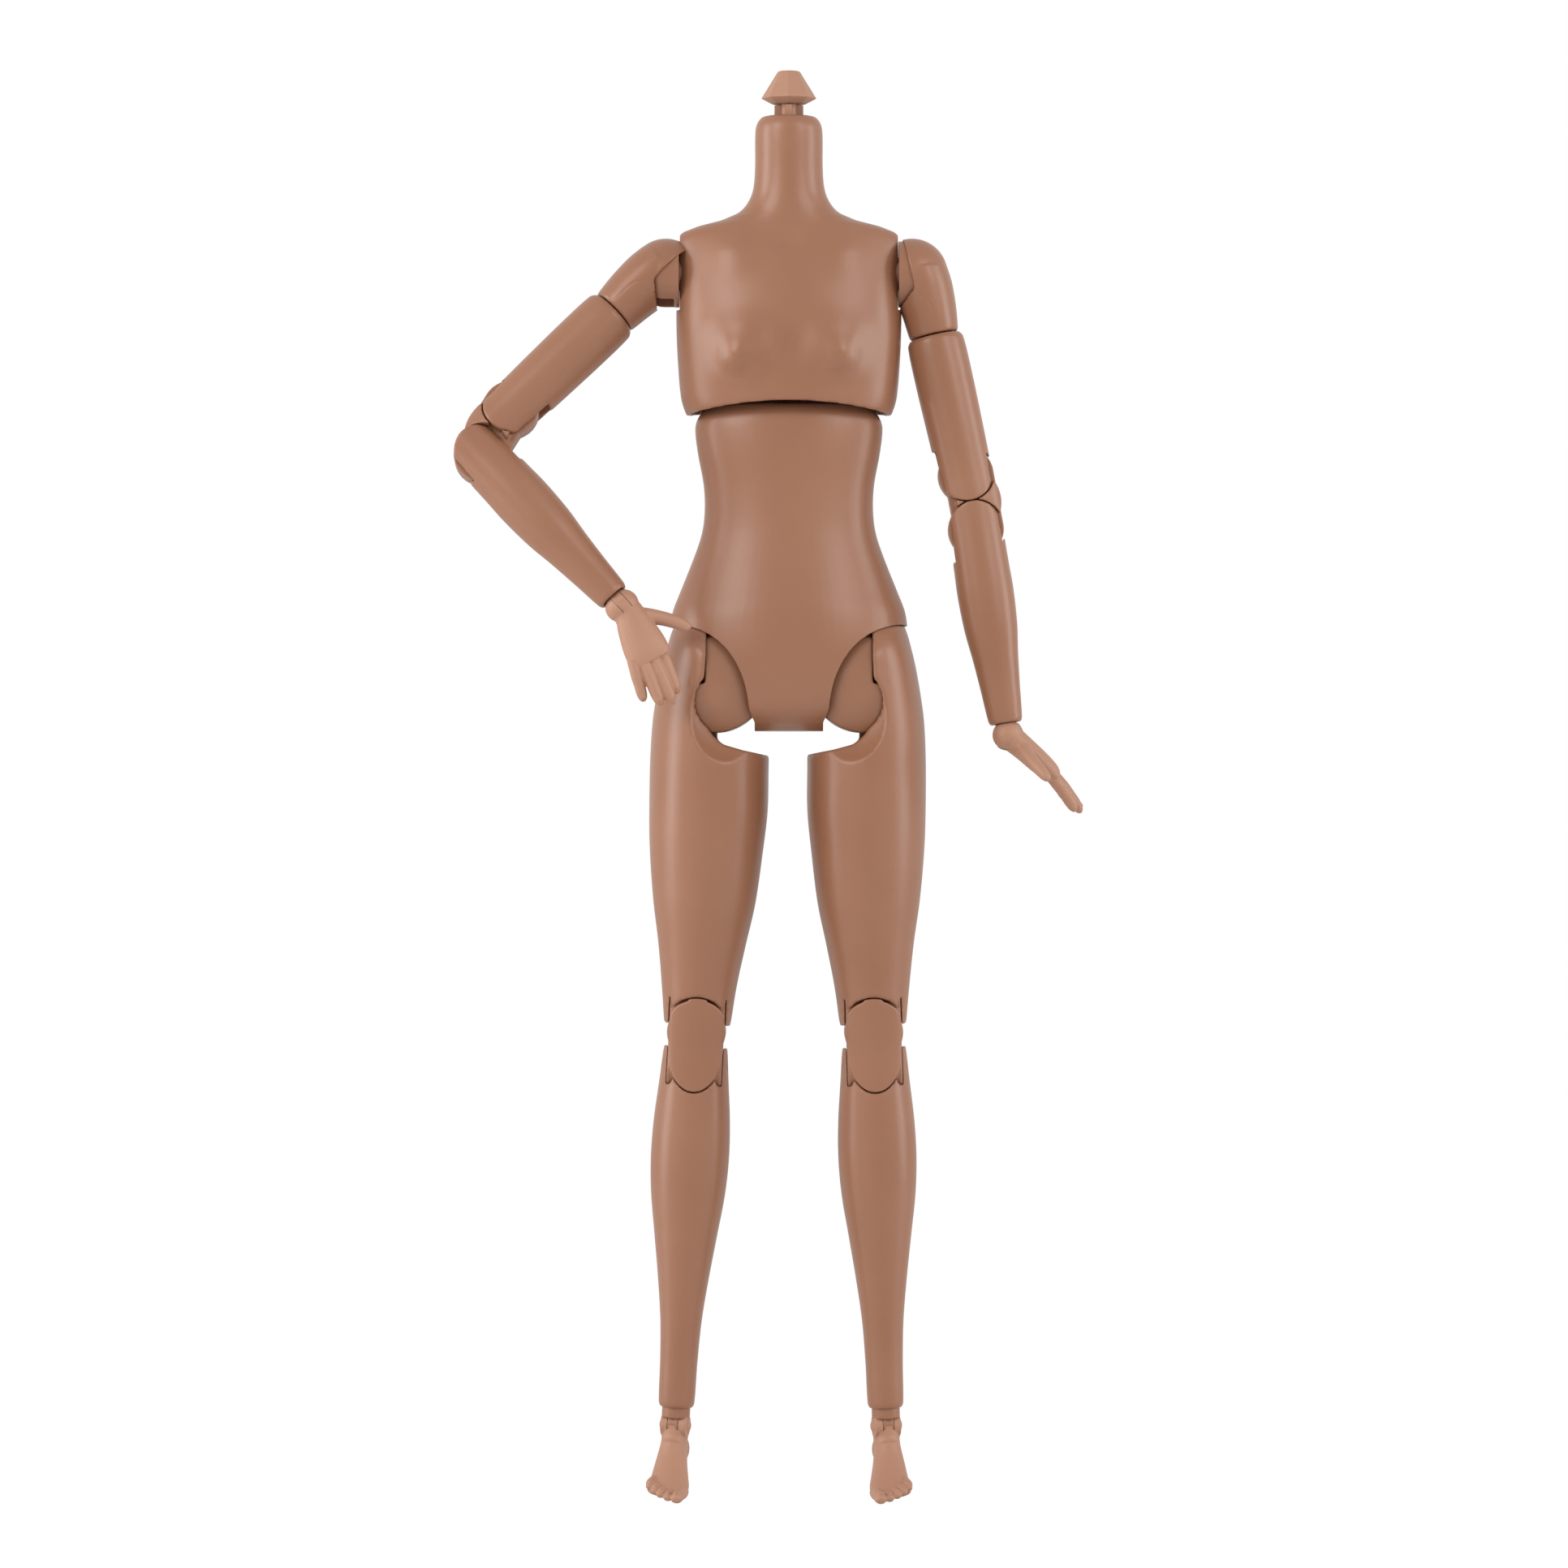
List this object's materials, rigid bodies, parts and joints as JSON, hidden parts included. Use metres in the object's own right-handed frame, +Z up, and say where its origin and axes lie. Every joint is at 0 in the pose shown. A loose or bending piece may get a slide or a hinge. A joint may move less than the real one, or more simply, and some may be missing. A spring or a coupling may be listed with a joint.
{
  "type": "articulated fashion doll",
  "caption": "Slim jointed fashion doll body without a head, with a faceted neck plug, hinged shoulders, elbows, wrists, hips, knees and ankles, and a turning waist.",
  "frame": {"origin": "inside the waist, at its narrowest height, midway between left and right", "axes": "+Z up the body to the neck plug, +X towards the left hand of the doll, +Y to its back"},
  "size_m": [0.1196, 0.0336, 0.2721],
  "materials": {
    "skin_plastic": "satin moulded skin-coloured plastic",
    "soft_vinyl": "soft vinyl, slightly paler",
    "nylon": "smooth nylon in the skin colour"
  },
  "bodies": {
    "torso": {"torso_front": "skin_plastic", "torso_back": "skin_plastic", "hip_axle": "nylon", "waist_post": "nylon"},
    "waist_ball": {"waist_ball": "nylon"},
    "waist_ring": {"waist_yoke": "nylon"},
    "chest": {"waist_cup": "nylon", "chest_front": "skin_plastic", "chest_back": "skin_plastic"},
    "neck_barrel": {"neck_barrel": "nylon", "neck_pin": "nylon"},
    "head_plug": {"neck_post": "soft_vinyl", "neck_knob": "soft_vinyl"},
    "right_shoulder": {"right_shoulder_hub": "skin_plastic", "right_shoulder_pin": "nylon"},
    "right_shoulder_cap": {"right_shoulder_cap": "skin_plastic"},
    "right_upper_arm": {"right_upper_arm": "skin_plastic", "right_elbow_upper_pin": "nylon"},
    "right_elbow_link": {"right_elbow_link": "skin_plastic"},
    "right_forearm": {"right_forearm": "skin_plastic", "right_elbow_lower_pin": "nylon"},
    "right_wrist_peg": {"right_wrist_peg": "nylon", "right_wrist_pin": "nylon"},
    "right_hand": {"right_hand": "soft_vinyl"},
    "left_shoulder": {"left_shoulder_hub": "skin_plastic", "left_shoulder_pin": "nylon"},
    "left_shoulder_cap": {"left_shoulder_cap": "skin_plastic"},
    "left_upper_arm": {"left_upper_arm": "skin_plastic", "left_elbow_upper_pin": "nylon"},
    "left_elbow_link": {"left_elbow_link": "skin_plastic"},
    "left_forearm": {"left_forearm": "skin_plastic", "left_elbow_lower_pin": "nylon"},
    "left_wrist_peg": {"left_wrist_peg": "nylon", "left_wrist_pin": "nylon"},
    "left_hand": {"left_hand": "soft_vinyl"},
    "right_hip": {"right_hip_ball": "skin_plastic", "right_hip_pin": "nylon"},
    "right_thigh": {"right_thigh": "skin_plastic", "right_knee_upper_pin": "nylon"},
    "right_knee_link": {"right_knee_link": "skin_plastic"},
    "right_calf": {"right_calf": "skin_plastic", "right_knee_lower_pin": "nylon"},
    "right_ankle_peg": {"right_ankle_peg": "nylon", "right_ankle_pin": "nylon"},
    "right_foot": {"right_foot": "soft_vinyl"},
    "left_hip": {"left_hip_ball": "skin_plastic", "left_hip_pin": "nylon"},
    "left_thigh": {"left_thigh": "skin_plastic", "left_knee_upper_pin": "nylon"},
    "left_knee_link": {"left_knee_link": "skin_plastic"},
    "left_calf": {"left_calf": "skin_plastic", "left_knee_lower_pin": "nylon"},
    "left_ankle_peg": {"left_ankle_peg": "nylon", "left_ankle_pin": "nylon"},
    "left_foot": {"left_foot": "soft_vinyl"}
  },
  "joints": [
    {"name": "waist_twist", "type": "hinge", "parent": "torso", "child": "waist_ball", "pos_m": [0, 0, 0.0275], "axis": [0, 0, 1], "range_deg": [-10, 10]},
    {"name": "waist_side_lean", "type": "hinge", "parent": "waist_ball", "child": "waist_ring", "pos_m": [0, 0, 0.0275], "axis": [0, 1, 0], "range_deg": [-2, 2]},
    {"name": "waist_bend", "type": "hinge", "parent": "waist_ring", "child": "chest", "pos_m": [0, 0, 0.0275], "axis": [1, 0, 0], "range_deg": [-3, 1]},
    {"name": "neck_turn", "type": "hinge", "parent": "chest", "child": "neck_barrel", "pos_m": [0, 0, 0.0723], "axis": [0, 0, 1], "range_deg": [-80, 80]},
    {"name": "neck_nod", "type": "hinge", "parent": "neck_barrel", "child": "head_plug", "pos_m": [0, 0, 0.0723], "axis": [1, 0, 0], "range_deg": [-12, 12]},
    {"name": "right_shoulder_swing", "type": "hinge", "parent": "chest", "child": "right_shoulder", "pos_m": [-0.0235, 0, 0.0462], "axis": [-1, 0, 0], "range_deg": [-2, 60]},
    {"name": "right_shoulder_raise", "type": "hinge", "parent": "right_shoulder", "child": "right_shoulder_cap", "pos_m": [-0.0235, 0, 0.0462], "axis": [0, 0.9744, -0.225], "range_deg": [-5, 40]},
    {"name": "right_upper_arm_turn", "type": "hinge", "parent": "right_shoulder_cap", "child": "right_upper_arm", "pos_m": [-0.02463, 0.00026, 0.0473], "axis": [-0.7071, -0.1591, -0.689], "range_deg": [-3, 60]},
    {"name": "right_elbow_upper", "type": "hinge", "parent": "right_upper_arm", "child": "right_elbow_link", "pos_m": [-0.05277, -0.00608, 0.01988], "axis": [0, -0.9744, 0.225], "range_deg": [-14, 10]},
    {"name": "right_elbow_lower", "type": "hinge", "parent": "right_elbow_link", "child": "right_forearm", "pos_m": [-0.05817, -0.00813, 0.01099], "axis": [0, -0.9744, 0.225], "range_deg": [-70, 4]},
    {"name": "right_wrist_turn", "type": "hinge", "parent": "right_forearm", "child": "right_wrist_peg", "pos_m": [-0.03147, -0.01471, -0.0175], "axis": [-0.6743, 0.1661, 0.7195], "range_deg": [-50, 60]},
    {"name": "right_wrist_bend", "type": "hinge", "parent": "right_wrist_peg", "child": "right_hand", "pos_m": [-0.03147, -0.01471, -0.0175], "axis": [-0.7385, -0.1517, -0.657], "range_deg": [-20, 30]},
    {"name": "left_shoulder_swing", "type": "hinge", "parent": "chest", "child": "left_shoulder", "pos_m": [0.0235, 0, 0.0462], "axis": [-1, 0, 0], "range_deg": [-30, 120]},
    {"name": "left_shoulder_raise", "type": "hinge", "parent": "left_shoulder", "child": "left_shoulder_cap", "pos_m": [0.0235, 0, 0.0462], "axis": [0, -0.9986, 0.0523], "range_deg": [-1.5, 70]},
    {"name": "left_upper_arm_turn", "type": "hinge", "parent": "left_shoulder_cap", "child": "left_upper_arm", "pos_m": [0.02506, 0.00002, 0.04655], "axis": [-0.2164, 0.0511, 0.975], "range_deg": [-60, 60]},
    {"name": "left_elbow_upper", "type": "hinge", "parent": "left_upper_arm", "child": "left_elbow_link", "pos_m": [0.03368, -0.00201, 0.00774], "axis": [0, 0.9986, -0.0523], "range_deg": [-2, 12]},
    {"name": "left_elbow_lower", "type": "hinge", "parent": "left_elbow_link", "child": "left_forearm", "pos_m": [0.03561, -0.00256, -0.00267], "axis": [0, 0.9986, -0.0523], "range_deg": [-1.5, 15]},
    {"name": "left_wrist_turn", "type": "hinge", "parent": "left_forearm", "child": "left_wrist_peg", "pos_m": [0.0416, -0.00461, -0.04176], "axis": [0.1513, -0.0517, -0.9871], "range_deg": [-80, 80]},
    {"name": "left_wrist_bend", "type": "hinge", "parent": "left_wrist_peg", "child": "left_hand", "pos_m": [0.0416, -0.00461, -0.04176], "axis": [0, -0.9986, 0.0523], "range_deg": [-80, 20]},
    {"name": "right_hip_swing", "type": "hinge", "parent": "torso", "child": "right_hip", "pos_m": [-0.014, 0, -0.0315], "axis": [-1, 0, 0], "range_deg": [-20, 10]},
    {"name": "right_hip_spread", "type": "hinge", "parent": "right_hip", "child": "right_thigh", "pos_m": [-0.014, 0, -0.0315], "axis": [0, 1, 0], "range_deg": [-4, 30]},
    {"name": "right_knee_upper", "type": "hinge", "parent": "right_thigh", "child": "right_knee_link", "pos_m": [-0.01729, 0, -0.09221], "axis": [0.9985, 0, -0.0541], "range_deg": [0, 50]},
    {"name": "right_knee_lower", "type": "hinge", "parent": "right_knee_link", "child": "right_calf", "pos_m": [-0.01799, 0, -0.10519], "axis": [0.9985, 0, -0.0541], "range_deg": [0, 50]},
    {"name": "right_ankle_turn", "type": "hinge", "parent": "right_calf", "child": "right_ankle_peg", "pos_m": [-0.02169, 0, -0.17349], "axis": [-0.0541, 0, -0.9985], "range_deg": [-40, 40]},
    {"name": "right_ankle_bend", "type": "hinge", "parent": "right_ankle_peg", "child": "right_foot", "pos_m": [-0.02169, 0, -0.17349], "axis": [-0.9689, 0.2419, 0.0525], "range_deg": [-15, 30]},
    {"name": "left_hip_swing", "type": "hinge", "parent": "torso", "child": "left_hip", "pos_m": [0.014, 0, -0.0315], "axis": [-1, 0, 0], "range_deg": [-20, 60]},
    {"name": "left_hip_spread", "type": "hinge", "parent": "left_hip", "child": "left_thigh", "pos_m": [0.014, 0, -0.0315], "axis": [0, -1, 0], "range_deg": [-4, 30]},
    {"name": "left_knee_upper", "type": "hinge", "parent": "left_thigh", "child": "left_knee_link", "pos_m": [0.01596, 0, -0.09227], "axis": [0.9995, 0, 0.0323], "range_deg": [0, 50]},
    {"name": "left_knee_lower", "type": "hinge", "parent": "left_knee_link", "child": "left_calf", "pos_m": [0.01638, 0, -0.10526], "axis": [0.9995, 0, 0.0323], "range_deg": [0, 50]},
    {"name": "left_ankle_turn", "type": "hinge", "parent": "left_calf", "child": "left_ankle_peg", "pos_m": [0.01859, 0, -0.17363], "axis": [-0.0323, 0, 0.9995], "range_deg": [-40, 40]},
    {"name": "left_ankle_bend", "type": "hinge", "parent": "left_ankle_peg", "child": "left_foot", "pos_m": [0.01859, 0, -0.17363], "axis": [-0.9776, -0.2079, -0.0316], "range_deg": [-15, 30]}
  ]
}
